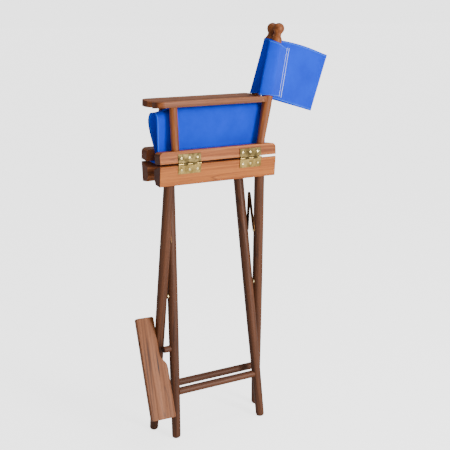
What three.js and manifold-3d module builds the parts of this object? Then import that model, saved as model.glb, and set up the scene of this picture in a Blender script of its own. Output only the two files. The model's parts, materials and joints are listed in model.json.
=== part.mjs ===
// A tall folding director's chair, stored folded: two crossed pairs of turned legs, hinged side
// frames with flat arms, a canvas seat folded up into a loop, a canvas back folded in half
// behind its posts, and a footrest board that hangs from the front leg.
// Millimetres, +Z up, the sitter faces -Y and the sitter's left is +X.
import * as THREE from 'three'
import { mergeVertices } from 'three/addons/utils/BufferGeometryUtils.js'
import Module from 'manifold-3d'

const wasm = await Module()
wasm.setup()

// ---- driving dimensions -------------------------------------------------------------------
const DEG = Math.PI / 180
const GAP = 0.3                 // clearance between touching pieces

const FOLDED_TILT = 5.65        // each leg pair's tilt from upright when folded, degrees
const SIDE_LEAN = 4.6           // the side frames' inward lean when folded, degrees

const FOOT_REACH = 468.9        // crossing bolt to the end of a foot, along the leg
const RAIL_REACH = 367.6          // crossing bolt to the underside of the lower rail
const TENON = 28                // how far a leg enters its rail
const FOOT_END_RADIUS = 10
const LEG_RADIUS = 16.5         // at the crossing bolt
const FRONT_SPLAY = 0.038       // how much the front legs step back per millimetre of height
const REAR_SPLAY = -0.048
const FRONT_LEG_Y = [-48.2, -11.0]    // leg axes at the crossing bolt: front-most, next
const REAR_LEG_Y = [266.2, 303.4]

const RAIL_FRONT = -76
const RAIL_BACK = 327
const RAIL_HEIGHT = 61.5        // lower rail
const RAIL_OUTER = 25.5         // leg axis to the lower rail's outer face
const RAIL_INNER = -15.5
const RAIL_LAND = 6             // flat strip beside the hinges, before the top bevel starts
const RAIL_BEVEL_DROP = 17.3
const HINGE_GAP = 8.5           // between the lower and upper rails, at the hinges

const UPPER_RAIL_HEIGHT = 35.5
const UPPER_RAIL_THICK = 37
const UPPER_RAIL_CORNER = 13
const HINGE_OFFSET = 3          // pin line outside the rails' outer faces
const HEM_GROOVE_WIDTH = 9
const HEM_GROOVE_DEPTH = 8
const HEM_ROD_RADIUS = 2.5

const HINGE_LENGTH = 76
const HINGE_LEAF_HEIGHT = 26
const HINGE_LEAF_THICK = 2
const HINGE_KNUCKLE_RADIUS = 3.2
const HINGE_PIN_RADIUS = 1.5
const HINGE_CENTRES = [21, 233.5]

const ARM_WIDTH = 60
const ARM_THICK = 18
const ARM_UNDERSIDE = 169       // above the hinge pin line, along the side frame
const ARM_FRONT = -79
const ARM_BACK = 303
const ARM_CORNERS = [26, 20]     // in plan, front and rear
const FRONT_POST_Y = -15.5
const FRONT_POST_RADIUS = 12.5
const POST_DATUM = 35.75        // the posts' heights are measured from here, above the hinge pin line
const BACK_POST_Y = 281         // the back post's axis at that height
const BACK_POST_SLOPE = 0.2365  // rearward per millimetre of height
const BACK_POST_RADIUS = 15.5
const BALL_RADIUS = 17.6
const BALL_RISE = 366           // to the ball's centre, along the post

const BOLT_RECESS = 3          // depth of the counterbores at the ends of the crossing bolts

const STRETCHER_RADIUS = 12
const STRETCHER_DROP = 318      // below the crossing bolt

const STAY_RISE = 180           // crossing bolt to the stay's screw, along the leg
const STAY_LENGTH = 119
const STAY_WIDTH = 14
const STAY_THICK = 1.6

const FOOTREST_PIVOT = -147     // along the front leg, from the crossing bolt
const FOOTREST_OFFSET = 4
const FOOTREST_HANG = 29.4      // from the leg, degrees
const FOOTREST_THICK = 16
const FOOTREST_TOP = 77         // board above its pivot
const FOOTREST_LENGTH = 322.6
const FOOTREST_FRONT = -72      // edges measured back from the leg's axis
const FOOTREST_NARROW = -13
const FOOTREST_WIDE = 9
const FOOTREST_STEP = [52, 77.3]
const FOOTREST_NUT = 8.5        // floor of the nut's recess, behind the leg's axis
const PEG_DROP = 171.4
const PEG_RADIUS = 10.5
const PEG_FRONT = -55

const CANVAS = 3                // thickness of the plain solids that stand for canvas
const SEAT_FRONT = -64
const SEAT_BACK = 290
const SEAT_HALF_WIDTH = 21.5
const SEAT_TOP = 1052.7
const SEAT_SIDE = 164.7
const BACK_LOW = 158            // the back canvas, along the post
const BACK_HIGH = 324
const BACK_HALF = 207.1         // post axis to the rear fold
const POCKET_RADIUS = 18.6

const ORIGIN = [10.896, 210.937]     // the middle of the folded chair's footprint

// ---- small helpers ------------------------------------------------------------------------
const COLOURS = {
  wood: { color: 0x9a6237, roughness: 0.45, metalness: 0 },
  brass: { color: 0xc4a256, roughness: 0.3, metalness: 1 },
  steel: { color: 0x9a9a9a, roughness: 0.35, metalness: 1 },
  canvas: { color: 0x0a6fe6, roughness: 0.85, metalness: 0 },
}

function solidOf(geometry) {
  const bare = new THREE.BufferGeometry()
  bare.setAttribute('position', geometry.getAttribute('position'))
  bare.setIndex(geometry.index)
  const joined = mergeVertices(bare, 1e-4)
  const points = joined.getAttribute('position').array
  const corners = joined.index.array
  const triangles = []
  let volume = 0
  const at = (i) => new THREE.Vector3(points[3 * i], points[3 * i + 1], points[3 * i + 2])
  for (let i = 0; i < corners.length; i += 3) {
    const [a, b, c] = corners.slice(i, i + 3)
    if (a === b || b === c || c === a) continue
    triangles.push([a, b, c])
    volume += at(a).dot(at(b).cross(at(c)))
  }
  const outward = volume < 0 ? triangles.map(([a, b, c]) => [a, c, b]) : triangles
  return new wasm.Manifold(new wasm.Mesh({
    numProp: 3,
    vertProperties: new Float32Array(points),
    triVerts: new Uint32Array(outward.flat()),
  }))
}

function geometryOf(solid) {
  const mesh = solid.getMesh()
  const geometry = new THREE.BufferGeometry()
  geometry.setAttribute('position', new THREE.BufferAttribute(mesh.vertProperties, 3))
  geometry.setIndex(new THREE.BufferAttribute(mesh.triVerts, 1))
  geometry.computeVertexNormals()
  return geometry
}

function piece(name, solid, finish, group) {
  const mesh = new THREE.Mesh(geometryOf(solid), new THREE.MeshStandardMaterial(COLOURS[finish]))
  mesh.name = name
  group.add(mesh)
  return mesh
}

const outline = (points) => new THREE.Shape(points.map(([a, b]) => new THREE.Vector2(a, b)))

function extruded(shape, depth, xAxis, yAxis, zAxis, curveSegments = 4) {
  const geometry = new THREE.ExtrudeGeometry(shape, { depth, bevelEnabled: false, curveSegments })
  return geometry.applyMatrix4(new THREE.Matrix4().makeBasis(xAxis, yAxis, zAxis))
}

const X = new THREE.Vector3(1, 0, 0)
const Y = new THREE.Vector3(0, 1, 0)
const Z = new THREE.Vector3(0, 0, 1)

// An (x, z) outline run along Y, a (y, z) outline run along X, and an (x, y) outline run up Z.
const alongY = (shape, from, to) =>
  solidOf(extruded(shape, to - from, X, Z, Y.clone().negate())).translate([0, to, 0])
const alongX = (shape, from, to) => solidOf(extruded(shape, to - from, Y, Z, X)).translate([from, 0, 0])
const alongZ = (shape, from, to) => solidOf(extruded(shape, to - from, X, Y, Z, 8)).translate([0, 0, from])

function box(low, high) {
  const size = high.map((value, i) => value - low[i])
  const middle = high.map((value, i) => (value + low[i]) / 2)
  return solidOf(new THREE.BoxGeometry(...size)).translate(middle)
}

// Profiles are [radius, height] pairs, turned about Z or about Y.
function turned(profile, segments = 20) {
  const points = profile.map(([radius, height]) => new THREE.Vector2(radius, height))
  return solidOf(new THREE.LatheGeometry(points, segments).rotateX(Math.PI / 2))
}
function turnedAlongY(profile, segments = 16) {
  const points = profile.map(([radius, y]) => new THREE.Vector2(radius, y))
  return solidOf(new THREE.LatheGeometry(points, segments))
}
const rodAlongY = (radius, from, to, segments = 16) =>
  turnedAlongY([[0, from], [radius, from], [radius, to], [0, to]], segments)
const ringAlongY = (inner, outer, from, to, segments = 16) =>
  turnedAlongY([[inner, from], [outer, from], [outer, to], [inner, to], [inner, from]], segments)
const nutAlongY = (bore, across, from, to) =>
  rodAlongY(across, from, to, 6).subtract(rodAlongY(bore, from - 1, to + 1))

// A rectangle whose corners at low and at high have their own radii.
function roundedRectangle(left, right, low, high, [near, far]) {
  const shape = new THREE.Shape()
  shape.moveTo(left + near, low)
  shape.lineTo(right - near, low)
  shape.absarc(right - near, low + near, near, -Math.PI / 2, 0)
  shape.lineTo(right, high - far)
  shape.absarc(right - far, high - far, far, 0, Math.PI / 2)
  shape.lineTo(left + far, high)
  shape.absarc(left + far, high - far, far, Math.PI / 2, Math.PI)
  shape.lineTo(left, low + near)
  shape.absarc(left + near, low + near, near, Math.PI, Math.PI * 1.5)
  return shape
}

// ---- where the groups stand ---------------------------------------------------------------
const tilt = FOLDED_TILT * DEG
const lean = SIDE_LEAN * DEG
const crossingHeight = FOOT_REACH * Math.cos(tilt) + FOOT_END_RADIUS * Math.sin(tilt)
const pinRise = RAIL_REACH + RAIL_HEIGHT + HINGE_GAP / 2
const pinReach = RAIL_OUTER + HINGE_OFFSET
const pinX = pinRise * Math.sin(tilt) + pinReach * Math.cos(tilt)
const pinZ = crossingHeight + pinRise * Math.cos(tilt) - pinReach * Math.sin(tilt)

const chair = new THREE.Group()
chair.position.set(-ORIGIN[0], -ORIGIN[1], 0)

const crossing = new THREE.Group()
crossing.position.z = crossingHeight
chair.add(crossing)

function legGroup(side) {
  const group = new THREE.Group()
  group.position.z = crossingHeight
  group.rotation.y = side * tilt
  chair.add(group)
  return group
}

function sideGroup(side) {
  const group = new THREE.Group()
  group.position.set(side * pinX, 0, pinZ)
  group.rotation.y = -side * lean
  chair.add(group)
  return group
}

// ---- legs, lower rails and stretchers -----------------------------------------------------
// A leg is turned about its own axis and then sheared back by its splay.
const sheared = (solid, splay, y) =>
  solid.transform([1, 0, 0, 0, 0, 1, 0, 0, 0, splay, 1, 0, 0, y, 0, 1])

function legBlank(splay, y, extra = 0) {
  const profile = [
    [0, -FOOT_REACH - extra], [FOOT_END_RADIUS + extra, -FOOT_REACH - extra],
    [13, -FOOT_REACH + 3], [14 + extra, -FOOT_REACH + 8], [14.6 + extra, -400],
    [16.1 + extra, -150], [LEG_RADIUS + extra, 0], [16.4 + extra, STAY_RISE],
    [16 + extra, RAIL_REACH], [16 + extra, RAIL_REACH + TENON - GAP + extra],
    [0, RAIL_REACH + TENON - GAP + extra],
  ]
  return sheared(turned(profile), splay, y)
}

const legs = {
  front_left: { side: 1, splay: FRONT_SPLAY, y: FRONT_LEG_Y[0], outward: -1 },
  front_right: { side: -1, splay: FRONT_SPLAY, y: FRONT_LEG_Y[1], outward: 1 },
  rear_right: { side: -1, splay: REAR_SPLAY, y: REAR_LEG_Y[0], outward: -1 },
  rear_left: { side: 1, splay: REAR_SPLAY, y: REAR_LEG_Y[1], outward: 1 },
}
const legY = (leg, rise) => leg.y + leg.splay * rise

function makeLowerRail(name, side, pair, group) {
  const top = RAIL_REACH + RAIL_HEIGHT
  const ease = 1.5
  const section = outline([
    [RAIL_OUTER, RAIL_REACH + ease], [RAIL_OUTER, top - ease], [RAIL_OUTER - ease, top],
    [RAIL_OUTER - RAIL_LAND, top], [RAIL_INNER, top - RAIL_BEVEL_DROP],
    [RAIL_INNER, RAIL_REACH + 15], [RAIL_INNER + 11, RAIL_REACH], [RAIL_OUTER - ease, RAIL_REACH],
  ].map(([x, z]) => [side * x, z]))
  let rail = alongY(section, RAIL_FRONT, RAIL_BACK)
  for (const leg of pair) rail = rail.subtract(legBlank(leg.splay, leg.y, GAP))
  piece(name, rail, 'wood', group)
}

function makeStretcher(name, pair, group) {
  const ends = pair.map((leg) => legY(leg, -STRETCHER_DROP)).sort((a, b) => a - b)
  let dowel = rodAlongY(STRETCHER_RADIUS, ends[0], ends[1]).translate([0, 0, -STRETCHER_DROP])
  for (const leg of pair) dowel = dowel.subtract(legBlank(leg.splay, leg.y, GAP))
  piece(name, dowel, 'wood', group)
}

// Each leg is drilled for the crossing bolt and for its stay's screw; the front-most one also
// has a flat and a hole where the footrest turns.
function makeLeg(name, leg, group) {
  const drill = (radius, x, rise) =>
    rodAlongY(radius, legY(leg, rise) - 40, legY(leg, rise) + 40, 12).translate([x, 0, rise])
  const floor = leg.y + leg.outward * (LEG_RADIUS - BOLT_RECESS - GAP)
  const sink = rodAlongY(5.9, ...[floor, floor + leg.outward * 30].sort((a, b) => a - b))
  let wood = legBlank(leg.splay, leg.y).subtract(drill(4.3, 0, 0)).subtract(sink)
    .subtract(drill(2.6, 0, STAY_RISE))
  if (name === 'leg_front_left') {
    const flat = sheared(box([-20, -30, FOOTREST_PIVOT - 48], [20, FOOTREST_NARROW + GAP, FOOTREST_PIVOT + 62]),
      leg.splay, leg.y)
    const square = (hole) => hole.rotate([-Math.atan(leg.splay) / DEG, 0, 0])
      .translate([FOOTREST_OFFSET, legY(leg, FOOTREST_PIVOT), FOOTREST_PIVOT])
    wood = wood.subtract(flat).subtract(square(rodAlongY(3.4, -40, 40, 12)))
      .subtract(square(rodAlongY(6.8, FOOTREST_NUT - GAP, 40)))
  }
  piece(name, wood, 'wood', group)
}

// ---- crossing bolts -----------------------------------------------------------------------
function makeCrossing(end, ys) {
  const front = ys[0] - LEG_RADIUS + BOLT_RECESS
  const back = ys[1] + LEG_RADIUS - BOLT_RECESS
  const bolt = turnedAlongY([
    [0, front - 3.6], [2.4, front - 3.3], [4.2, front - 2.4], [4.8, front - 1.6], [4.8, front + GAP],
    [4, front + GAP], [4, back + 2.6], [0, back + 2.6],
  ])
  piece(`crossing_bolt_${end}`, bolt, 'brass', crossing)
  const clear = LEG_RADIUS + 0.5      // the splayed legs lean across the spacer's faces
  const spacer = ringAlongY(4.3, 8.5, ys[0] + clear, ys[1] - clear)
  piece(`crossing_spacer_${end}`, spacer, 'brass', crossing)
  piece(`crossing_nut_${end}`, ringAlongY(4.3, 5.4, back, back + 2.4), 'brass', crossing)
}

// ---- stays --------------------------------------------------------------------------------
// Two flat bars meet above each crossing; the front one of a pair carries the apex rivet.
const stayTilt = Math.asin((STAY_RISE * Math.sin(tilt)) / STAY_LENGTH)

function makeStay(end, leg, group) {
  const side = leg.side
  const inFront = leg.outward < 0
  const partner = inFront ? 1 : -1
  const face = legY(leg, STAY_RISE) + partner * (16.4 + GAP)
  const [low, high] = [face, face + partner * STAY_THICK].sort((a, b) => a - b)
  const label = `${end}_${side > 0 ? 'left' : 'right'}`

  const swing = new THREE.Group()
  swing.position.set(0, 0, STAY_RISE)
  swing.rotation.y = -side * (tilt + stayTilt)
  group.add(swing)
  const half = STAY_WIDTH / 2
  const shape = new THREE.Shape()
  shape.absarc(0, 0, half, Math.PI, 2 * Math.PI)
  shape.absarc(0, STAY_LENGTH, half, 0, Math.PI)
  const bar = alongY(shape, low, high)
    .subtract(rodAlongY(2.6, low - 5, high + 5, 12))
    .subtract(rodAlongY(2.8, low - 5, high + 5, 12).translate([0, 0, STAY_LENGTH]))
  piece(`stay_${label}`, sheared(bar, leg.splay, 0), 'brass', swing)

  if (inFront) {
    const shift = leg.splay * STAY_LENGTH
    const rivet = turnedAlongY([
      [0, low - 3.2], [2.5, low - 3], [4.3, low - 1.8], [4.8, low - GAP], [2.5, low - GAP],
      [2.5, high], [0, high],
    ]).translate([0, shift, STAY_LENGTH])
    piece(`stay_rivet_${end}`, rivet, 'brass', swing)
  }

  const head = face + partner * (STAY_THICK + GAP)
  const tail = legY(leg, STAY_RISE) - partner * 16
  const screw = turnedAlongY([
    [0, head + partner * 3], [2.6, head + partner * 2.6], [4.6, head + partner * 1.3],
    [5, head], [2.3, head], [2.3, tail], [0, tail],
  ], 12).translate([0, 0, STAY_RISE])
  piece(`stay_screw_${label}`, screw, 'brass', group)
}

// ---- hinges -------------------------------------------------------------------------------
// Five knuckles: the lower leaf holds the first, third and fifth, the upper leaf the others.
function knuckles(side, centre, owned, pinAt) {
  const step = HINGE_LENGTH / 5
  const start = centre - HINGE_LENGTH / 2
  let joined = null
  for (const index of owned) {
    const ring = ringAlongY(HINGE_PIN_RADIUS + GAP, HINGE_KNUCKLE_RADIUS,
      start + index * step + GAP / 2, start + (index + 1) * step - GAP / 2, 12)
    joined = joined ? joined.add(ring) : ring
  }
  return joined.translate([side * pinAt[0], 0, pinAt[1]])
}

function leaf(side, centre, owned, pinAt, away) {
  const inner = pinAt[0] - HINGE_OFFSET + GAP
  const outer = inner + HINGE_LEAF_THICK
  const near = pinAt[1] + away * 4.2
  const far = pinAt[1] + away * (4.2 + HINGE_LEAF_HEIGHT)
  const span = (a, b) => [Math.min(a, b), Math.max(a, b)]
  const [x0, x1] = span(side * inner, side * outer)
  const [z0, z1] = span(near, far)
  let plate = box([x0, centre - HINGE_LENGTH / 2, z0], [x1, centre + HINGE_LENGTH / 2, z1])
  const step = HINGE_LENGTH / 5
  const bore = rodAlongY(HINGE_PIN_RADIUS + GAP, -HINGE_LENGTH, HINGE_LENGTH, 12)
    .translate([side * pinAt[0], centre, pinAt[1]])
  const [w0, w1] = span(near + away * 0.5, pinAt[1] + away * 1)
  for (const index of owned) {
    const from = centre - HINGE_LENGTH / 2 + index * step + GAP / 2
    const web = box([x0, from, w0], [x1, from + step - GAP, w1])
    plate = plate.add(web)
  }
  return plate.add(knuckles(side, centre, owned, pinAt)).subtract(bore)
}

function makeHinge(label, side, centre, legs_, frame) {
  const lower = leaf(side, centre, [0, 2, 4], [pinReach, pinRise], -1)
  piece(`hinge_lower_leaf_${label}`, lower, 'brass', legs_)
  const upper = leaf(side, centre, [1, 3], [0, 0], 1)
  piece(`hinge_upper_leaf_${label}`, upper, 'brass', frame)
  const pin = rodAlongY(HINGE_PIN_RADIUS, centre - HINGE_LENGTH / 2 - 1, centre + HINGE_LENGTH / 2 + 1, 12)
    .translate([side * pinReach, 0, pinRise])
  piece(`hinge_pin_${label}`, pin, 'brass', legs_)
}

// ---- side frames --------------------------------------------------------------------------
const upperLow = HINGE_GAP / 2
const upperTop = upperLow + UPPER_RAIL_HEIGHT
const postLine = -HINGE_OFFSET - UPPER_RAIL_THICK / 2
const postTilt = Math.atan(BACK_POST_SLOPE)

// The back post and what is threaded on it are built upright, then leaned back about the
// post's datum, just below the top of the rail.
const onPost = (solid, side) =>
  solid.rotate([-postTilt / DEG, 0, 0]).translate([side * postLine, BACK_POST_Y, POST_DATUM])

function backPostBlank(side, extra = 0) {
  const ball = []
  for (let i = 1; i <= 7; i++) {
    const angle = (-54 + (144 * i) / 7) * DEG
    ball.push([BALL_RADIUS * Math.cos(angle), BALL_RISE + BALL_RADIUS * Math.sin(angle)])
  }
  ball[ball.length - 1][0] = 0
  const profile = [
    [0, -20], [11.8 + extra, -20], [11.9 + extra, 10], [13.6 + extra, 60],
    [BACK_POST_RADIUS + extra, 118], [BACK_POST_RADIUS + extra, 330],
    [15 + extra, 334], [13.4 + extra, 337.5], [11.4 + extra, 340.5], [10.6 + extra, 344],
    [10.6 + extra, 350], ...ball,
  ]
  return onPost(turned(profile), side)
}

function makeSideFrame(name, side, group) {
  const rail = new THREE.Shape()
  rail.moveTo(RAIL_FRONT, upperLow)
  rail.lineTo(RAIL_BACK, upperLow)
  rail.lineTo(RAIL_BACK, upperTop - UPPER_RAIL_CORNER)
  rail.absarc(RAIL_BACK - UPPER_RAIL_CORNER, upperTop - UPPER_RAIL_CORNER, UPPER_RAIL_CORNER, 0, Math.PI / 2)
  rail.lineTo(RAIL_FRONT + UPPER_RAIL_CORNER, upperTop)
  rail.absarc(RAIL_FRONT + UPPER_RAIL_CORNER, upperTop - UPPER_RAIL_CORNER, UPPER_RAIL_CORNER,
    Math.PI / 2, Math.PI)
  const [x0, x1] = [-side * HINGE_OFFSET, -side * (HINGE_OFFSET + UPPER_RAIL_THICK)].sort((a, b) => a - b)
  const groove = box(
    [side * postLine - HEM_GROOVE_WIDTH / 2, RAIL_FRONT + 8, upperLow - 5],
    [side * postLine + HEM_GROOVE_WIDTH / 2, RAIL_BACK - 8, upperLow + HEM_GROOVE_DEPTH])
  piece(`upper_rail_${name}`, alongX(rail, x0, x1).subtract(groove), 'wood', group)

  const hem = rodAlongY(HEM_ROD_RADIUS, SEAT_FRONT, SEAT_BACK, 10)
    .translate([side * postLine, 0, upperLow + 4.5])
  piece(`hem_rod_${name}`, hem, 'steel', group)

  const frontPost = turned([
    [0, upperTop + GAP], [12, upperTop + GAP], [FRONT_POST_RADIUS, upperTop + 30],
    [FRONT_POST_RADIUS, ARM_UNDERSIDE - 20], [12, ARM_UNDERSIDE - GAP], [0, ARM_UNDERSIDE - GAP],
  ]).translate([side * postLine, FRONT_POST_Y, 0])
  piece(`front_post_${name}`, frontPost, 'wood', group)

  const below = box([-200, 0, -200], [200, 600, upperTop + GAP])
  piece(`back_post_${name}`, backPostBlank(side).subtract(below), 'wood', group)

  const half = ARM_WIDTH / 2
  const arm = roundedRectangle(side * postLine - half, side * postLine + half, ARM_FRONT, ARM_BACK, ARM_CORNERS)
  const board = alongZ(arm, ARM_UNDERSIDE, ARM_UNDERSIDE + ARM_THICK).subtract(backPostBlank(side, GAP))
  piece(`arm_${name}`, board, 'wood', group)
}

// ---- footrest -----------------------------------------------------------------------------
function makeFootrest(group) {
  const leg = legs.front_left
  const seat = new THREE.Group()
  seat.position.set(FOOTREST_OFFSET, legY(leg, FOOTREST_PIVOT), FOOTREST_PIVOT)
  seat.rotation.x = -Math.atan(leg.splay)
  group.add(seat)
  const bolt = turnedAlongY([
    [0, -69.5], [3.5, -69.3], [5, -67.8], [5, -66], [3, -66], [3, 14], [0, 14],
  ], 12)
  piece('footrest_bolt', bolt, 'steel', seat)
  piece('footrest_nut', nutAlongY(3.3, 6, FOOTREST_NUT, FOOTREST_NUT + 4.5), 'steel', seat)

  const swing = new THREE.Group()
  swing.rotation.y = -FOOTREST_HANG * DEG
  seat.add(swing)
  const corner = 6
  const end = FOOTREST_TOP - FOOTREST_LENGTH
  const shape = new THREE.Shape()
  shape.moveTo(FOOTREST_FRONT + corner, FOOTREST_TOP)
  shape.absarc(FOOTREST_FRONT + corner, FOOTREST_TOP - corner, corner, Math.PI / 2, Math.PI)
  shape.lineTo(FOOTREST_FRONT, end + corner)
  shape.absarc(FOOTREST_FRONT + corner, end + corner, corner, Math.PI, Math.PI * 1.5)
  shape.lineTo(FOOTREST_WIDE - corner, end)
  shape.absarc(FOOTREST_WIDE - corner, end + corner, corner, -Math.PI / 2, 0)
  const [high, low] = FOOTREST_STEP.map((drop) => -drop)
  shape.lineTo(FOOTREST_WIDE, low - 16)
  shape.bezierCurveTo(FOOTREST_WIDE, low, FOOTREST_WIDE - 3, low + 3, FOOTREST_WIDE - 11, (low + high) / 2)
  shape.bezierCurveTo(FOOTREST_NARROW + 3, high - 3, FOOTREST_NARROW, high, FOOTREST_NARROW, high + 14)
  shape.lineTo(FOOTREST_NARROW, FOOTREST_TOP - corner)
  shape.absarc(FOOTREST_NARROW - corner, FOOTREST_TOP - corner, corner, 0, Math.PI / 2)
  const board = alongX(shape, -FOOTREST_THICK / 2, FOOTREST_THICK / 2)
    .subtract(rodAlongY(3.4, -100, 50, 12))
    .subtract(rodAlongY(5.5, -100, -65.7, 12))
  piece('footrest', board, 'wood', swing)
}

function makePeg(group) {
  const leg = legs.front_right
  const peg = turnedAlongY([
    [0, PEG_FRONT], [PEG_RADIUS - 1.5, PEG_FRONT], [PEG_RADIUS, PEG_FRONT + 1.5],
    [PEG_RADIUS, legY(leg, -PEG_DROP)], [0, legY(leg, -PEG_DROP)],
  ]).translate([0, 0, -PEG_DROP]).subtract(legBlank(leg.splay, leg.y, GAP))
  piece('footrest_peg', peg, 'wood', group)
}

// ---- canvas -------------------------------------------------------------------------------
// Plain slabs where the cloth runs: two sides and a top for the seat's folded loop, and two
// leaves with post pockets for the back.
function makeSeat() {
  const half = CANVAS / 2
  for (const [name, side] of [['left', 1], ['right', -1]]) {
    const panel = box(
      [side * SEAT_HALF_WIDTH - half, SEAT_FRONT, SEAT_TOP - SEAT_SIDE],
      [side * SEAT_HALF_WIDTH + half, SEAT_BACK, SEAT_TOP - half - GAP])
    piece(`seat_canvas_${name}`, panel, 'canvas', chair)
  }
  const reach = SEAT_HALF_WIDTH - GAP
  const top = box([-reach, SEAT_FRONT, SEAT_TOP - half], [reach, SEAT_BACK, SEAT_TOP + half])
  piece('seat_canvas_top', top, 'canvas', chair)
}

// A leaf runs back from its post pocket to the rear fold, which stays upright while the posts
// lean inward.
function makeBack(name, side) {
  const middle = (BACK_LOW + BACK_HIGH) / 2
  const rise = POST_DATUM + middle * Math.cos(postTilt)
  const postX = pinX + postLine * Math.cos(lean) - rise * Math.sin(lean)
  const postZ = pinZ + postLine * Math.sin(lean) + rise * Math.cos(lean)
  const postY = BACK_POST_Y + middle * Math.sin(postTilt)
  const half = CANVAS / 2
  const turn = Math.asin((postX - half - GAP) / BACK_HALF)
  const cloth = box([-half, POCKET_RADIUS - 1, BACK_LOW - middle], [half, BACK_HALF, BACK_HIGH - middle])
    .rotate([0, 0, (side * turn) / DEG])
    .rotate([-postTilt / DEG, 0, 0])
    .translate([side * postX, postY, postZ])
  const wall = turned([
    [16, BACK_LOW], [POCKET_RADIUS, BACK_LOW], [POCKET_RADIUS, BACK_HIGH], [16, BACK_HIGH], [16, BACK_LOW],
  ], 16)
  const pocket = onPost(wall, side).rotate([0, -side * SIDE_LEAN, 0]).translate([side * pinX, 0, pinZ])
  piece(`back_canvas_${name}`, cloth.add(pocket), 'canvas', chair)
}

// ---- assembly -----------------------------------------------------------------------------
const sides = [
  { name: 'left', side: 1, pair: [legs.front_left, legs.rear_left] },
  { name: 'right', side: -1, pair: [legs.front_right, legs.rear_right] },
]
for (const { name, side, pair } of sides) {
  const under = legGroup(side)
  const over = sideGroup(side)
  makeLowerRail(`lower_rail_${name}`, side, pair, under)
  makeStretcher(`stretcher_${name}`, pair, under)
  for (const leg of pair) {
    const end = leg.y < 100 ? 'front' : 'rear'
    makeLeg(`leg_${end}_${name}`, leg, under)
    makeStay(end, leg, under)
  }
  HINGE_CENTRES.forEach((centre, i) =>
    makeHinge(`${i === 0 ? 'front' : 'rear'}_${name}`, side, centre, under, over))
  makeSideFrame(name, side, over)
  makeBack(name, side)
  if (side > 0) makeFootrest(under)
  else makePeg(under)
}
makeCrossing('front', FRONT_LEG_Y)
makeCrossing('rear', REAR_LEG_Y)
makeSeat()

export default chair
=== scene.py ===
"""A tall folding director's chair, folded for storage: oiled hardwood, brass and blue canvas."""
import json
import math

import bpy
import numpy as np
from mathutils import Matrix, Vector

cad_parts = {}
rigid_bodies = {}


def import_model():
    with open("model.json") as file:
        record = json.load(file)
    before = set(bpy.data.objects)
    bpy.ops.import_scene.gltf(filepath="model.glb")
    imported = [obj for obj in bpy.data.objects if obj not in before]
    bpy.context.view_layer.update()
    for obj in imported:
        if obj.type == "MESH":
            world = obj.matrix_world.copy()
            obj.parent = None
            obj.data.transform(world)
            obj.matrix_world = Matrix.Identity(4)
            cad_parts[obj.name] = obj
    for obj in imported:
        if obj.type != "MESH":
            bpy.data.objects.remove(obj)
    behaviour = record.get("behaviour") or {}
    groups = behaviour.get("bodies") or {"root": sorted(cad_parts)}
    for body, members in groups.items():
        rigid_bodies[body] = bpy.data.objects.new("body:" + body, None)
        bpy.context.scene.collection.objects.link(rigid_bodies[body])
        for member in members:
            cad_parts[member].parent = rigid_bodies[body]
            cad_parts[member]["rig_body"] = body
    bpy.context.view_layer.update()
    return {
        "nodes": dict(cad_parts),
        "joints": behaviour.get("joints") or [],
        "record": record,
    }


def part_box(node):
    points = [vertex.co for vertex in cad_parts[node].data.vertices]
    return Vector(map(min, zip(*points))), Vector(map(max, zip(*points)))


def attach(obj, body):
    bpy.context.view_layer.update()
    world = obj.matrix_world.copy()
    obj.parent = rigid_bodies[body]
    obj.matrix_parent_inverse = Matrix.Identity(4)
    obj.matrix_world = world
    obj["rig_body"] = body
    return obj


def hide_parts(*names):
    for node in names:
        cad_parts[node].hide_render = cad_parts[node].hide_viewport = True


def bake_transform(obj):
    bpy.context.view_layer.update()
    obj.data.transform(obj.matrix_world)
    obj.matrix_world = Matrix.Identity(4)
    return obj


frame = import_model()
MM = 0.001
rng = np.random.default_rng(7)


def add_object(name, data):
    item = bpy.data.objects.new(name, data)
    bpy.context.scene.collection.objects.link(item)
    return item


def cover(item, material):
    """Give a CAD piece one material in place of the ones it came with."""
    item.data.materials.clear()
    item.data.materials.append(material)


# ---- camera -------------------------------------------------------------------------------
CAMERA_AT = (2.3529, -1.3666, 1.3473)
CAMERA_AZIMUTH = 60.53
CAMERA_PITCH = 13.97
CAMERA_ROLL = -0.18
CAMERA_LENS = 69.74


def look(azimuth, pitch, roll):
    a, p, r = (math.radians(angle) for angle in (azimuth, pitch, roll))
    forward = Vector((-math.sin(a) * math.cos(p), math.cos(a) * math.cos(p), -math.sin(p)))
    right = Vector((math.cos(a), math.sin(a), 0))
    up = right.cross(forward)
    rolled_right = right * math.cos(r) + up * math.sin(r)
    rolled_up = up * math.cos(r) - right * math.sin(r)
    return Matrix((rolled_right, rolled_up, -forward)).transposed().to_quaternion()


camera = add_object("camera", bpy.data.cameras.new("camera"))
camera.location = CAMERA_AT
camera.rotation_mode = "QUATERNION"
camera.rotation_quaternion = look(CAMERA_AZIMUTH, CAMERA_PITCH, CAMERA_ROLL)
camera.data.sensor_width = 36
camera.data.lens = CAMERA_LENS
bpy.context.scene.camera = camera


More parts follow.
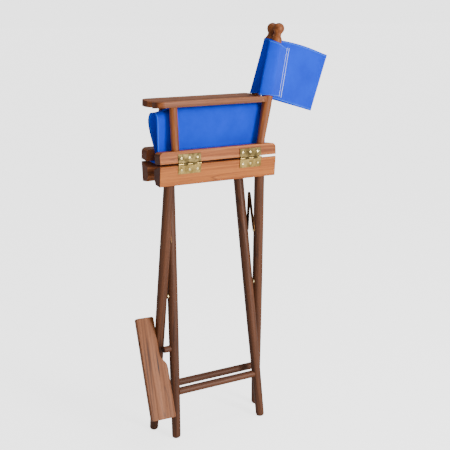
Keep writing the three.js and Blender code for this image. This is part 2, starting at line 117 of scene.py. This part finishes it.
# ---- shader helpers -----------------------------------------------------------------------
class Shader:
    """A node material: each call adds a node and returns its first output or the one asked for."""

    def __init__(self, name):
        self.material = bpy.data.materials.new(name)
        self.material.use_nodes = True
        self.tree = self.material.node_tree
        self.bsdf = self.tree.nodes["Principled BSDF"]

    def add(self, kind, inputs=(), out=0, **settings):
        made = self.tree.nodes.new("ShaderNode" + kind)
        for key, value in settings.items():
            setattr(made, key, value)
        for key, value in dict(inputs).items():
            self.put(made.inputs[key], value)
        return made.outputs[out]

    def put(self, socket, value):
        if isinstance(value, bpy.types.NodeSocket):
            self.tree.links.new(value, socket)
        else:
            socket.default_value = value

    def math(self, operation, a, b=0.0, c=0.0):
        return self.add("Math", {0: a, 1: b, 2: c}, operation=operation)

    def step(self, value, low, high, to_low=0.0, to_high=1.0):
        return self.add("MapRange", {0: value, 1: low, 2: high, 3: to_low, 4: to_high},
                        interpolation_type="SMOOTHSTEP")

    def mix(self, factor, a, b, blend="MIX"):
        made = self.tree.nodes.new("ShaderNodeMix")
        made.data_type, made.blend_type = "RGBA", blend
        for index, value in ((0, factor), (6, a), (7, b)):
            self.put(made.inputs[index], value)
        return made.outputs[2]

    def noise(self, vector, scale, detail=3.0, roughness=0.55):
        return self.add("TexNoise", {"Vector": vector, "Scale": scale, "Detail": detail,
                                     "Roughness": roughness})

    def finish(self, **sockets):
        for key, value in sockets.items():
            self.put(self.bsdf.inputs[key.replace("_", " ")], value)
        return self.material


def rgb(red, green, blue):
    """An sRGB colour, 0 to 255, as the linear one a shader takes."""
    def linear(value):
        value /= 255
        return value / 12.92 if value < 0.04045 else ((value + 0.055) / 1.055) ** 2.4
    return (linear(red), linear(green), linear(blue), 1.0)


# ---- wood ---------------------------------------------------------------------------------
def wood(name, pale, deep, streak, end, along, offset, bold=0.5, round_off=1.6, figure=9.0):
    """Oiled hardwood: along is the grain's direction, offset picks the plank, bold sets how dark
    the streaks are, figure how many veins there are, and round_off the edges' radius in mm."""
    s = Shader(name)
    place = s.add("TexCoord", out="Object")
    grain = Vector(along).normalized()
    turn = grain.rotation_difference(Vector((0, 0, 1))).to_euler()
    straight = s.add("Mapping", {"Vector": place, "Location": offset, "Rotation": turn})

    def stretched(scale):
        return s.add("Mapping", {"Vector": straight, "Scale": scale})

    wide = s.noise(stretched((16, 16, 1.5)), 1.0, 2.0)
    lines = s.math("PINGPONG", s.math("MULTIPLY", wide, figure), 0.5)
    vein = s.math("MULTIPLY", s.step(lines, 0.10, 0.0), s.step(wide, 0.42, 0.6))
    fine = s.noise(stretched((160, 160, 3.0)), 1.0, 5.0, 0.6)
    broad = s.noise(stretched((45, 45, 1.6)), 1.0, 3.0)
    pores = s.noise(stretched((900, 900, 34)), 1.0, 2.0)
    tone = s.math("ADD", s.math("MULTIPLY", fine, 0.55), s.math("MULTIPLY", broad, 0.45))
    colour = s.mix(s.step(tone, 0.36, 0.64), pale, deep)
    dark_band = s.math("MULTIPLY", s.step(broad, 0.56, 0.70), bold * 0.75)
    colour = s.mix(dark_band, colour, streak)
    colour = s.mix(s.math("MULTIPLY", vein, bold), colour, streak)
    colour = s.mix(s.step(pores, 0.58, 0.70, 0.0, 0.35), colour, streak)
    facing = s.add("VectorMath", {0: s.add("TexCoord", out="Normal"), 1: tuple(grain)}, out=1,
                   operation="DOT_PRODUCT")
    sawn = s.step(s.math("ABSOLUTE", facing), 0.72, 0.92)
    colour = s.mix(sawn, colour, end)
    height = s.math("SUBTRACT", fine, s.math("MULTIPLY", s.step(pores, 0.58, 0.72), 0.6))
    rounded = s.add("Bevel", {"Radius": round_off * MM}, samples=6)
    bump = s.add("Bump", {"Strength": 0.22, "Distance": 0.0004, "Height": height,
                          "Normal": rounded})
    rough = s.step(tone, 0.35, 0.65, 0.44, 0.58)
    return s.finish(Base_Color=colour, Roughness=rough, Normal=bump, Specular_IOR_Level=0.3)


PALE_RAIL = dict(pale=rgb(196, 112, 44), deep=rgb(148, 76, 28), streak=rgb(88, 42, 18),
                 end=rgb(82, 38, 20))
# The arms' own wood, also put on the far rails as painted shade.
ARM_WOOD_AND_RAIL_SHADE = dict(pale=rgb(160, 92, 46), deep=rgb(116, 62, 30), streak=rgb(70, 34, 18),
                end=rgb(104, 54, 28))
PALE_POST = dict(pale=rgb(168, 96, 46), deep=rgb(122, 66, 34), streak=rgb(76, 38, 20),
                 end=rgb(96, 50, 28))
DARK_LEG = dict(pale=rgb(104, 60, 34), deep=rgb(76, 43, 25), streak=rgb(38, 21, 14),
                end=rgb(54, 33, 24))
BOARD = dict(pale=rgb(150, 84, 30), deep=rgb(106, 56, 20), streak=rgb(34, 17, 12),
             end=rgb(76, 42, 22))


def leg_direction(node):
    """A leg's own axis, from its foot to its top, by its box and the pair it belongs to."""
    low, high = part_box(node)
    lean_x = (high.x - low.x) * (1 if node.endswith("left") else -1)
    lean_y = (high.y - low.y) * (1 if "front" in node else -1)
    return (lean_x, lean_y, high.z - low.z)


def grain_of(node):
    if node.startswith("leg_"):
        return leg_direction(node)
    if node.startswith(("front_post", "back_post")):
        return (0, 0.23 if node.startswith("back") else 0, 1)
    if node == "footrest":
        return (-0.403, 0.06, 0.914)
    return (0, 1, 0)


TURNED = ("leg_", "stretcher_", "front_post", "back_post", "footrest_peg")
slots = {part["node"]: part["material_slot"] for part in frame["record"]["subparts"]}
for index, (node, item) in enumerate(sorted(frame["nodes"].items())):
    if slots[node] != "wood":
        continue
    palette = DARK_LEG if node.startswith(("leg_", "stretcher_", "footrest_peg")) else PALE_RAIL
    palette = PALE_POST if "_post_" in node else palette
    # The far (right-side) rails are the same wood as the near ones. Giving them the arms' darker
    # palette is painted shade.
    palette = ARM_WOOD_AND_RAIL_SHADE if node.startswith("arm") or node.endswith("rail_right") else palette
    palette = BOARD if node == "footrest" else palette
    cover(item, wood(
        "wood_" + node, along=grain_of(node), offset=(0.37 * index, 0.61 * index, 0.23 * index),
        bold=1.0 if node == "footrest" else 0.6, figure=12.0 if node == "footrest" else 9.0,
        round_off=4.5 if node.startswith("arm") else 3.2 if node.startswith(TURNED) else 2.4,
        **palette))


# ---- metal --------------------------------------------------------------------------------
def metal(name, clean, dull, rough, scale=60.0):
    s = Shader(name)
    place = s.add("TexCoord", out="Object")
    cloud = s.noise(place, scale, 4.0)
    scratch = s.noise(s.add("Mapping", {"Vector": place, "Scale": (400, 40, 900)}), 1.0, 2.0)
    colour = s.mix(s.step(cloud, 0.4, 0.68), clean, dull)
    rounded = s.add("Bevel", {"Radius": 0.6 * MM}, samples=4)
    bump = s.add("Bump", {"Strength": 0.1, "Distance": 0.0002, "Height": scratch,
                          "Normal": rounded})
    shine = s.step(cloud, 0.3, 0.7, rough, rough + 0.14)
    return s.finish(Base_Color=colour, Metallic=1.0, Roughness=shine, Normal=bump)


BRASS = metal("brass", rgb(170, 144, 84), rgb(122, 100, 54), 0.28)
# Painted shade: the upper hinge leaves are the same brass as the lower ones. This darker copy
# stands in for the dimmer reflection they catch.
SHADED_LEAF_BRASS = metal("brass_painted_shade", rgb(92, 78, 46), rgb(60, 50, 28), 0.34)
BRONZE = metal("bronze", rgb(124, 86, 52), rgb(84, 56, 34), 0.38)
STEEL = metal("steel", rgb(188, 188, 186), rgb(140, 140, 138), 0.3)
SCREW = metal("screw", rgb(240, 222, 168), rgb(206, 184, 124), 0.2)
for node, slot in slots.items():
    finish = {"brass": BRASS, "steel": STEEL}.get(slot)
    # the upper leaves take the darker copy of the brass: painted shade
    if node.startswith("hinge_upper_leaf"):
        finish = SHADED_LEAF_BRASS
    if node.startswith(("stay_", "crossing_bolt", "crossing_nut")):
        finish = BRONZE
    if node.startswith(("stay_screw", "crossing_spacer")):
        finish = SCREW
    if finish:
        cover(frame["nodes"][node], finish)


# ---- canvas -------------------------------------------------------------------------------
THREAD_PITCH = 0.6 * MM
STITCH_PITCH = 2.1 * MM
HEM_STITCH = 4.5 * MM           # from the hemmed edge
SEAM_GAP = 8.5 * MM             # between the pocket's two rows of stitches


def canvas():
    """Blue duck canvas. The cloth meshes carry four distances in metres that place the threads and
    stitches: hem, from the nearest hemmed edge; run, along it; rise, up the sheet; and seam, behind
    the pocket's first row of stitches."""
    s = Shader("canvas")
    hem, run, seam, rise = (s.add("Attribute", out="Fac", attribute_name=name)
                            for name in ("hem", "run", "seam", "rise"))
    place = s.add("TexCoord", out="Object")

    def threads(distance, pitch):
        return s.math("PINGPONG", s.math("DIVIDE", distance, pitch), 1.0)

    weave = s.math("MULTIPLY", threads(run, THREAD_PITCH), threads(rise, THREAD_PITCH))

    def line(distance, at, along):
        near = s.math("ABSOLUTE", s.math("SUBTRACT", distance, at))
        dash = s.step(threads(along, STITCH_PITCH), 0.06, 0.2)
        return s.math("MULTIPLY", s.step(near, 0.0012, 0.0006), dash)

    hem_line = line(hem, HEM_STITCH, run)
    seam_line = s.math("MAXIMUM", line(seam, 0.0, rise), line(seam, SEAM_GAP, rise))
    cloud = s.noise(place, 9.0, 3.0)
    fade = s.noise(place, 70.0, 4.0)
    colour = s.mix(s.step(cloud, 0.35, 0.7), rgb(0, 66, 240), rgb(0, 58, 220))
    colour = s.mix(s.step(fade, 0.45, 0.75, 0.0, 0.2), colour, rgb(0, 72, 238))
    colour = s.mix(s.step(weave, 0.0, 0.5, 0.16, 0.0), colour, rgb(0, 36, 140))
    edge = s.step(hem, 0.0016, 0.0, 0.0, 0.55)
    colour = s.mix(edge, colour, rgb(0, 34, 140))
    colour = s.mix(s.math("MULTIPLY", hem_line, 0.5), colour, rgb(84, 160, 246))
    colour = s.mix(s.math("MULTIPLY", seam_line, 0.95), colour, rgb(214, 232, 250))
    relief = s.math("ADD", s.math("MULTIPLY", weave, 0.3), s.math("MAXIMUM", hem_line, seam_line))
    bump = s.add("Bump", {"Strength": 0.35, "Distance": 0.0005, "Height": relief})
    return s.finish(Base_Color=colour, Roughness=0.82, Normal=bump, Sheen_Weight=0.05,
                    Sheen_Roughness=0.5, Specular_IOR_Level=0.12)


CANVAS = canvas()


def smooth_path(points, count):
    """count points evenly spaced along a Catmull-Rom curve through the given ones."""
    p = np.array(points, float)
    p = np.vstack([2 * p[0] - p[1], p, 2 * p[-1] - p[-2]])
    fine = []
    for a, b, c, d in zip(p, p[1:], p[2:], p[3:]):
        for t in np.linspace(0, 1, 24, endpoint=False):
            fine.append(0.5 * (2 * b + (c - a) * t + (2 * a - 5 * b + 4 * c - d) * t ** 2
                               + (3 * b - a - 3 * c + d) * t ** 3))
    fine = np.array(fine + [p[-2]])
    length = np.concatenate([[0], np.cumsum(np.linalg.norm(np.diff(fine, axis=0), axis=1))])
    wanted = np.linspace(0, length[-1], count)
    return np.stack([np.interp(wanted, length, axis) for axis in fine.T], axis=1), length[-1]


def sheet_mesh(name, grid, half, **distances):
    """A closed sheet about a grid of points, half as thick each way, with its stitch distances."""
    rows, columns = grid.shape[:2]
    normal = np.cross(np.gradient(grid, axis=0), np.gradient(grid, axis=1))
    normal /= np.linalg.norm(normal, axis=2, keepdims=True)
    half = np.broadcast_to(half, (rows, columns))[..., None]
    points = np.concatenate([(grid + normal * half).reshape(-1, 3),
                             (grid - normal * half).reshape(-1, 3)])
    size = rows * columns
    faces = []
    for i in range(rows - 1):
        for j in range(columns - 1):
            a = i * columns + j
            ring = (a, a + columns, a + columns + 1, a + 1)
            faces += [ring, tuple(size + v for v in reversed(ring))]
    edge = [(i, 0) for i in range(rows)] + [(rows - 1, j) for j in range(1, columns)]
    edge += [(i, columns - 1) for i in range(rows - 2, -1, -1)]
    edge += [(0, j) for j in range(columns - 2, 0, -1)]
    loop = [i * columns + j for i, j in edge]
    for a, b in zip(loop, loop[1:] + loop[:1]):
        faces.append((a, a + size, b + size, b))
    mesh = bpy.data.meshes.new(name)
    mesh.from_pydata(points.tolist(), [], faces)
    mesh.update()
    for key, values in distances.items():
        values = np.broadcast_to(values, (rows, columns)).reshape(-1)
        layer = mesh.attributes.new(key, "FLOAT", "POINT")
        layer.data.foreach_set("value", np.concatenate([values, values]).astype(np.float32))
    mesh.shade_smooth()
    mesh.materials.append(CANVAS)
    return add_object(name, mesh)


def joint(name):
    found = next(j for j in frame["joints"] if j["name"] == name)
    return Vector(found["pos_m"]), Vector(found["axis"])


# ---- seat canvas --------------------------------------------------------------------------
hinge_left, _ = joint("seat_left_turn")
MIDDLE_X = (hinge_left.x + joint("seat_fold_right")[0].x) / 2
SEAT_Z = hinge_left.z
SEAT_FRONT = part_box("seat_canvas_left")[0].y
SEAT_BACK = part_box("seat_canvas_left")[1].y + 25 * MM     # the cloth runs past its plain solid
SEAT_HEM = 12 * MM
HEM_SHORT = 26 * MM             # the strips in the rails end this far before the seat does
RIPPLE = 0.5 * MM
POST_Y = (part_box("front_post_left")[0].y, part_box("front_post_left")[1].y)


def seat_half(name, profile):
    """A sheet from a side frame's gap to the crown: profile gives [x, z] in mm from the middle."""
    rows = 44
    stations = np.concatenate([np.linspace(SEAT_FRONT, SEAT_FRONT + SEAT_HEM, 4)[:-1],
                               np.linspace(SEAT_FRONT + SEAT_HEM, SEAT_BACK - SEAT_HEM, 44),
                               np.linspace(SEAT_BACK - SEAT_HEM, SEAT_BACK, 4)[1:]])
    grid = np.zeros((rows, len(stations), 3))
    for j, y in enumerate(stations):
        mouth = max(0.0, 1 - (y - SEAT_FRONT) / (POST_Y[0] - SEAT_FRONT))
        line, length = smooth_path(profile(mouth, y), rows)
        grid[:, j, 0] = MIDDLE_X + line[:, 0] * MM
        grid[:, j, 1] = y
        grid[:, j, 2] = SEAT_Z + line[:, 1] * MM
    along = np.linspace(0, 1, rows)[:, None]
    hem = np.minimum(stations - SEAT_FRONT, SEAT_BACK - stations)[None, :]
    ripple = RIPPLE * np.sin(along * math.pi) * np.sin(stations * 31 + along * 4.0)
    ripple *= np.clip(hem / 0.05, 0, 1)
    grid[..., 0] += ripple
    half = np.where(hem < SEAT_HEM, 1.0 * MM, 0.6 * MM)
    run = along * length * MM
    item = sheet_mesh(name, grid, half, hem=hem, run=run, seam=1.0, rise=stations[None, :])
    return item, length * MM


CROWN_X = -5.0
CROWN_LOW = 150.0               # mm, at the front edge
CROWN_RISE = 12.7
CROWN_RUN = 64 * MM             # the crown is at its full height this far back


def crown_height(y):
    """The crown above the frames' gap, in mm: low at the front edge, then just under the arms."""
    t = min(1.0, max(0.0, (y - SEAT_FRONT) / CROWN_RUN))
    return CROWN_LOW + CROWN_RISE * t * t * (3 - 2 * t)


def near_profile(mouth, y):
    beside_post = min(1.0, max(0.0, (y - SEAT_BACK + 60 * MM) / (25 * MM)))
    side = 21.5 + 0.5 * mouth - 0.8 * beside_post
    top = crown_height(y)
    return [(21.5, 0), (20.8, 12), (side - 0.5, 40), (side, 80), (side, 112),
            (side - 0.3, top - 25), (side - 3.4, top - 10), (9.5, top - 2.4), (CROWN_X, top)]


def far_profile(mouth, y):
    """Straight down to the far rail's gap, but at the loop's open mouth it swells out and then
    folds down to the near rail before it crosses the gap."""
    top = crown_height(y)
    rear = [(CROWN_X, top), (-14.5, top - 3), (-19.2, top - 17), (-21.2, top - 34), (-18.2, 92),
            (-17, 62), (-16, 38), (-16.2, 20), (-16.8, 8), (-18, 4), (-19.3, 2.2), (-20.4, 1),
            (-21.5, 0)]
    front = [(CROWN_X, top), (-23.5, top - 3), (-36.2, top - 17), (-38.2, top - 34), (-30, 92),
             (-11, 62), (7, 38), (13.5, 20), (14.5, 8), (10.5, 2.2), (2, 0.6), (-9, 0.2),
             (-21.5, 0)]
    share = mouth ** 1.3
    return [(a + (c - a) * share, b + (d - b) * share) for (a, b), (c, d) in zip(rear, front)]


seat_near, near_length = seat_half("seat_canvas_near_half", near_profile)
seat_far, far_length = seat_half("seat_canvas_far_half", far_profile)


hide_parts("seat_canvas_left", "seat_canvas_top")
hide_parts("seat_canvas_right")
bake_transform(seat_near)
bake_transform(seat_far)


def seat_hem(side, name):
    """The strip from a side frame's gap round its hem rod, inside the upper rail's groove."""
    low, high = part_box("hem_rod_" + name)
    rod = Vector(((low.x + high.x) / 2, 0, (low.z + high.z) / 2))
    reach = (rod.x - MIDDLE_X) / MM * side
    rise = (rod.z - SEAT_Z) / MM
    wrap = 3.3
    turn = [(reach + wrap * math.sin(a), rise - wrap * math.cos(a))
            for a in np.radians([10, 60, 110, 160, 210, 260, 300])]
    points = [(21.5, 0), (27, 0.6), (34, 1.1), (reach - 6, 1.9), (reach - 2.5, 3.2)] + turn
    line, length = smooth_path(points, 34)
    stations = np.linspace(SEAT_FRONT, SEAT_BACK - HEM_SHORT, 24)
    grid = np.zeros((len(line), len(stations), 3))
    grid[..., 0] = MIDDLE_X + side * line[:, :1] * MM
    grid[..., 1] = stations
    grid[..., 2] = SEAT_Z + line[:, 1:] * MM
    hem = np.minimum(stations - stations[0], stations[-1] - stations)[None, :]
    run = np.linspace(0, length * MM, len(line))[:, None]
    item = sheet_mesh("seat_hem_" + name, grid, 0.5 * MM, hem=hem, run=run, seam=1.0,
                      rise=stations[None, :])
    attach(item, name + "_frame")


seat_hem(1, "left")
seat_hem(-1, "right")

# ---- back canvas --------------------------------------------------------------------------
post_middle, post_axis = joint("back_left_turn")
fold_at, _ = joint("back_fold")
MIDDLE = fold_at.x
POST_X = (post_middle.x - MIDDLE) / MM
POST_LEAN = post_axis.x / post_axis.z
BACK_TILT = math.atan2(post_axis.y, math.hypot(post_axis.x, post_axis.z))
FOLD_REACH = 205.7          # mm, post line to rear fold, at the middle
FOLD_SLOPE = 0.102          # how much further back the fold stands per mm of height
POCKET_FRONT = {1: (-31.0, 0.04), -1: (-20.5, 0.035)}     # each pocket's front: middle, slope
SEAM_AT = 51.0              # mm behind the post, the pocket's first row of stitches
BACK_DEPTH = 176.0          # mm, hem to hem
EASE = 25 * MM              # behind the arms' rear ends, where the canvas stops clearing them
ARM_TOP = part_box("arm_left")[1].z + 0.8 * MM
ARM_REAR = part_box("arm_left")[1].y + 5 * MM
POCKET_CLEAR = 17.0
HEM_BACK = 11 * MM


def back_line(rise, sign):
    """Cross-section [x, rearward, flap share] at a height on the post, near half, from the seam's
    free edge, round the post's front and back along its inner side to the rear fold."""
    centre = POST_X + POST_LEAN * rise
    outer, inner = centre + POCKET_CLEAR, centre - POCKET_CLEAR
    fold = FOLD_REACH + FOLD_SLOPE * rise

    def panel(reach):
        return inner * (1 - (reach / fold) ** 1.15)

    bow = 3.2
    front = POCKET_FRONT[sign][0] + POCKET_FRONT[sign][1] * rise
    stitched = (panel(SEAM_AT) + bow + 2.0, SEAM_AT)

    def flap(share):
        return (outer + (stitched[0] - outer) * share, 4 + (stitched[1] - 4) * share, 1)

    return [(panel(SEAM_AT + 10) + bow + 1.9, SEAM_AT + 10, 1), (*stitched, 1), flap(0.75),
            flap(0.5), flap(0.25), flap(0), (centre + 15.6, -7, 1),
            (centre + 9.0, 0.5 * front - 6, 1), (centre + 0.5, front, 0.9),
            (centre - 9.0, 0.5 * front - 6, 0.6), (centre - 15.0, -7, 0.4), (inner, 2, 0.2),
            (inner + 1.0, 16, 0), (panel(30) + 2.4, 30, 0), (panel(SEAM_AT) + bow, SEAM_AT, 0),
            (panel(60) + 2.5, 62, 0), (panel(100) + 1.0, 100, 0),
            (panel(fold - 58), fold - 58, 0), (panel(fold - 23) + 0.5, fold - 21, 0),
            (3.4, fold - 7, 0), (2.9, fold - 2.5, 0), (0, fold, 0)]


def back_heights(reach, flap, sign):
    """The canvas's lowest and highest point along the post, in mm from its middle."""
    share = max(0.0, reach) / FOLD_REACH
    panel_high = 85.5 + 5.5 * max(0.0, 1 - share) + 6.5 * math.sin(math.pi * min(1.0, share))
    panel_low = -89.5 - 13.0 * share
    seam = min(1.0, max(0.0, (reach + 28) / (SEAM_AT + 28)))
    flap_high = (84.5 if sign > 0 else 91.5) - 10.0 * seam
    flap_low = -91.0 + 9.0 * seam
    return (panel_low + (flap_low - panel_low) * flap, panel_high + (flap_high - panel_high) * flap)


def back_grid():
    half_rows, columns = 84, 30
    shares = np.concatenate([np.linspace(0, 0.065, 4)[:-1], np.linspace(0.065, 0.935, columns),
                             np.linspace(0.935, 1, 4)[1:]])
    rows = 2 * half_rows - 1
    grid = np.zeros((rows, len(shares), 3))
    hem = np.zeros((rows, len(shares)))
    run = np.zeros_like(hem)
    rise = np.zeros_like(hem)
    seam = np.zeros_like(hem)
    for j, share in enumerate(shares):
        guess = BACK_DEPTH * (share - 0.5)
        lines = {sign: smooth_path(back_line(guess, sign), half_rows) for sign in (1, -1)}
        length = (lines[1][1] + lines[-1][1]) / 2
        for i, sign in [(i, sign) for sign in (1, -1) for i in range(half_rows)]:
            x, reach, flap = lines[sign][0][i]
            flap = min(1.0, max(0.0, flap))
            low, high = back_heights(reach, flap, sign)
            height = low + (high - low) * share
            y = post_middle.y + MM * (reach * math.cos(BACK_TILT) + height * math.sin(BACK_TILT))
            z = post_middle.z + MM * (height * math.cos(BACK_TILT) - reach * math.sin(BACK_TILT))
            if y < ARM_REAR + EASE:
                lift = ARM_TOP + 0.6 * MM + share * 20 * MM - z
                ease = min(1.0, max(0.0, (ARM_REAR + EASE - y) / EASE))
                z += max(0.0, lift) * ease
            if reach > 60:
                calm = max(0.0, min(1.0, (190 - reach) / 60))
                x += 0.7 * math.sin(reach / 26 + height / 40) * calm
            row = i if sign > 0 else rows - 1 - i
            grid[row, j] = (MIDDLE + sign * x * MM, y, z)
            hem[row, j] = min(height - low, high - height) * MM
            run[row, j] = i * length / (half_rows - 1) * MM
            rise[row, j] = height * MM
            seam[row, j] = 1.0 if flap < 0.95 else (reach - SEAM_AT) * MM
    return grid, hem, run, rise, seam, 2 * length * MM


grid, hem, run, rise, seam, cover_length = back_grid()
half = np.where(hem < HEM_BACK, 0.95 * MM, 0.6 * MM)
back = sheet_mesh("back_canvas_cover", grid, half, hem=hem, run=run, rise=rise, seam=seam)
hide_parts("back_canvas_left", "back_canvas_right")
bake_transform(back)


# ---- hinge screws -------------------------------------------------------------------------
def screw_head(radius, dome):
    """A countersunk oval head with a cross recess, facing +Z, as points and faces."""
    rings, spokes = 6, 24
    points = [(0, 0, dome - 0.5 * MM)]
    for i in range(1, rings + 1):
        r = radius * i / rings
        for k in range(spokes):
            a = 2 * math.pi * k / spokes
            x, y = r * math.cos(a), r * math.sin(a)
            z = dome * (1 - (r / radius) ** 2)
            in_cross = min(abs(x), abs(y)) < 0.16 * radius and r < 0.62 * radius
            points.append((x, y, z - (0.5 * MM if in_cross else 0)))
    base = len(points)
    turns = [2 * math.pi * k / spokes for k in range(spokes)]
    points += [(radius * math.cos(a), radius * math.sin(a), -0.4 * MM) for a in turns]
    points.append((0, 0, -0.4 * MM))
    faces = []
    for k in range(spokes):
        n = (k + 1) % spokes
        faces.append((0, 1 + k, 1 + n))
        for i in range(rings - 1):
            a = 1 + i * spokes
            faces.append((a + k, a + spokes + k, a + spokes + n, a + n))
        rim = 1 + (rings - 1) * spokes
        faces.append((rim + k, base + k, base + n, rim + n))
        faces.append((base + k, len(points) - 1, base + n))
    return points, faces


SCREW_RADIUS = 3.9 * MM
SCREW_DOME = 0.7 * MM
SCREW_PITCH = 27 * MM
head_points, head_faces = screw_head(SCREW_RADIUS, SCREW_DOME)


def leaf_screws(node):
    """Three screws on a hinge leaf, standing on its outer face."""
    item = frame["nodes"][node]
    side = 1 if node.endswith("left") else -1
    low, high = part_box(node)
    # the leaf's outer face: the flat polygons that look away from the chair
    faces = [f for f in item.data.polygons if f.normal.x * side > 0.9]
    normal = sum((f.normal * f.area for f in faces), Vector()).normalized()
    level = max(faces, key=lambda f: f.area)
    plane = level.center.dot(normal)
    across = Vector((0, 1, 0))
    inset = 0.36 * (high.z - low.z)
    row_z = high.z - inset if "upper" in node else low.z + inset
    points, faces_out = [], []
    for k in (-1, 0, 1):
        y = (low.y + high.y) / 2 + k * SCREW_PITCH
        at = Vector((0, y, row_z))
        at.x = (plane - at.dot(normal)) / normal.x
        twist = Matrix.Rotation(rng.uniform(0, math.pi), 3, "Z")
        basis = Matrix((across, normal.cross(across), normal)).transposed() @ twist
        start = len(points)
        points += [tuple(at + basis @ Vector(p)) for p in head_points]
        faces_out += [tuple(start + v for v in f) for f in head_faces]
    mesh = bpy.data.meshes.new("screws_" + node)
    mesh.from_pydata(points, [], faces_out)
    mesh.shade_smooth()
    mesh.materials.append(SCREW)
    made = add_object("screws_" + node, mesh)
    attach(made, item["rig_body"])


for node in sorted(frame["nodes"]):
    if "_leaf_" in node:
        leaf_screws(node)


# ---- arm plugs ----------------------------------------------------------------------------
# A turned wood plug, flush in each arm's outer edge, hides the screw into the back post.
def arm_plug(name):
    side = 1 if name == "left" else -1
    _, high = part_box("arm_" + name)
    item = frame["nodes"]["arm_" + name]
    out = max((f for f in item.data.polygons if f.normal.x * side > 0.9), key=lambda f: f.area)
    normal, radius, spokes = out.normal, 3.5 * MM, 24
    at = Vector((out.center.x, high.y - 23 * MM, out.center.z))
    across = Vector((0, 1, 0))
    up = normal.cross(across).normalized()
    rings = []
    for reach, lift in ((radius, -1.0 * MM), (radius, 0.1 * MM), (radius * 0.8, 0.35 * MM)):
        centre = at + normal * lift
        rings.append([tuple(centre + across * reach * math.cos(a) + up * reach * math.sin(a))
                      for a in np.linspace(0, 2 * math.pi, spokes, endpoint=False)])
    faces = [tuple(reversed(range(spokes))), tuple(range(2 * spokes, 3 * spokes))]
    for base in (0, spokes):
        for k in range(spokes):
            n = (k + 1) % spokes
            faces.append((base + k, base + n, base + spokes + n, base + spokes + k))
    mesh = bpy.data.meshes.new("plug_" + name)
    mesh.from_pydata(sum(rings, []), [], faces)
    mesh.materials.append(PLUG)
    plug = add_object("plug_" + name, mesh)
    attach(plug, name + "_frame")


PLUG = wood("wood_plug", along=(0, 1, 0), offset=(0.2, 0.5, 0.9), round_off=0.3, **PALE_POST)
arm_plug("left")
arm_plug("right")


# ---- floor and light ----------------------------------------------------------------------
FLOOR_GLOW = 2.3            # as the camera sees it
FLOOR_REACH = 60
SKY_SEEN = 2.75             # the sky's strength as the camera sees it
SKY_DARK = 0.22             # the light it throws, from its dark side to its bright side
SKY_BRIGHT = 0.75


def studio():
    """A white sweep that looks evenly bright but throws little light back up, and a sky that is
    brighter behind and to the right of the chair than in front of it."""
    s = Shader("floor")
    seen = s.add("LightPath", out="Is Camera Ray")
    s.finish(Base_Color=(0.9, 0.9, 0.9, 1), Roughness=0.9, Specular_IOR_Level=0.1,
             Emission_Color=(1, 1, 1, 1), Emission_Strength=s.math("MULTIPLY", seen, FLOOR_GLOW))
    mesh = bpy.data.meshes.new("floor")
    mesh.from_pydata([(x * FLOOR_REACH, y * FLOOR_REACH, 0)
                      for x, y in ((-1, -1), (1, -1), (1, 1), (-1, 1))], [], [(0, 1, 2, 3)])
    mesh.materials.append(s.material)
    add_object("floor", mesh)
    world = bpy.data.worlds.new("studio")
    world.use_nodes = True
    tree = world.node_tree
    sky = tree.nodes["Background"]
    sky.inputs[0].default_value = (1, 1, 1, 1)

    def node(kind, **values):
        made = tree.nodes.new("ShaderNode" + kind)
        for key, value in values.items():
            setattr(made, key, value)
        return made

    facing = node("VectorMath", operation="DOT_PRODUCT")
    tree.links.new(node("TexCoord").outputs["Generated"], facing.inputs[0])
    facing.inputs[1].default_value = (0.45, 0.8, 0.4)
    ramp = node("MapRange", interpolation_type="SMOOTHSTEP")
    tree.links.new(facing.outputs["Value"], ramp.inputs[0])
    for index, value in enumerate((-0.9, 0.9, SKY_DARK, SKY_BRIGHT)):
        ramp.inputs[index + 1].default_value = value
    seen = node("LightPath").outputs["Is Camera Ray"]
    blend = node("Mix")
    tree.links.new(seen, blend.inputs[0])
    tree.links.new(ramp.outputs[0], blend.inputs[2])
    blend.inputs[3].default_value = SKY_SEEN
    tree.links.new(blend.outputs[0], sky.inputs[1])
    bpy.context.scene.world = world


def area_light(name, at, aim, size, power):
    data = bpy.data.lights.new(name, "AREA")
    data.shape, data.size, data.energy = "DISK", size, power
    item = add_object(name, data)
    item.location = at
    item.rotation_euler = (Vector(aim) - Vector(at)).to_track_quat("-Z", "Y").to_euler()


studio()
area_light("key", (3.5, 1.1, 1.35), (0, 0, 0.75), 1.3, 138)
area_light("top", (0.4, 0.6, 3.6), (0, 0, 0.6), 1.6, 22)
